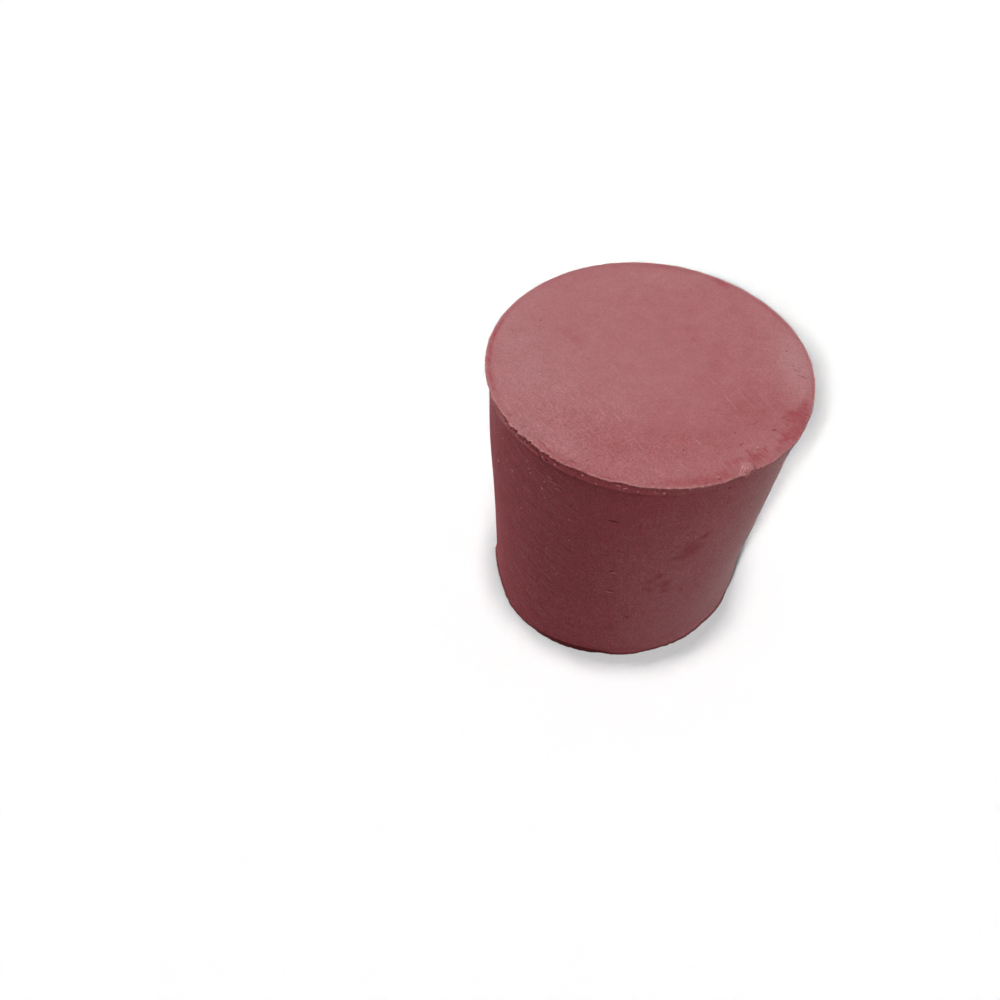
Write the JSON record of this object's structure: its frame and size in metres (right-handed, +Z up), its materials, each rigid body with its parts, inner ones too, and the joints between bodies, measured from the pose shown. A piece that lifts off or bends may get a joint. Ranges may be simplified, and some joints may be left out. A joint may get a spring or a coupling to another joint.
{
  "type": "rubber stopper",
  "caption": "Solid tapered rubber stopper for the neck of a flask or bottle, with a flat face at each end and trimmed mould flash.",
  "frame": {"origin": "centre of the narrow face, on the plane that the stopper stands on", "axes": "+Z up the stopper's axis from the narrow face to the wide face; +X and +Y across it. The blister on the wide face lies at 300 degrees from +X towards +Y, and the collar stands out most at 200 degrees."},
  "size_m": [0.0286, 0.0286, 0.0286],
  "materials": {
    "red_rubber": "matt, dusty bloom over brick-red filled rubber"
  },
  "bodies": {
    "root": {"stopper": "red_rubber"}
  },
  "joints": []
}
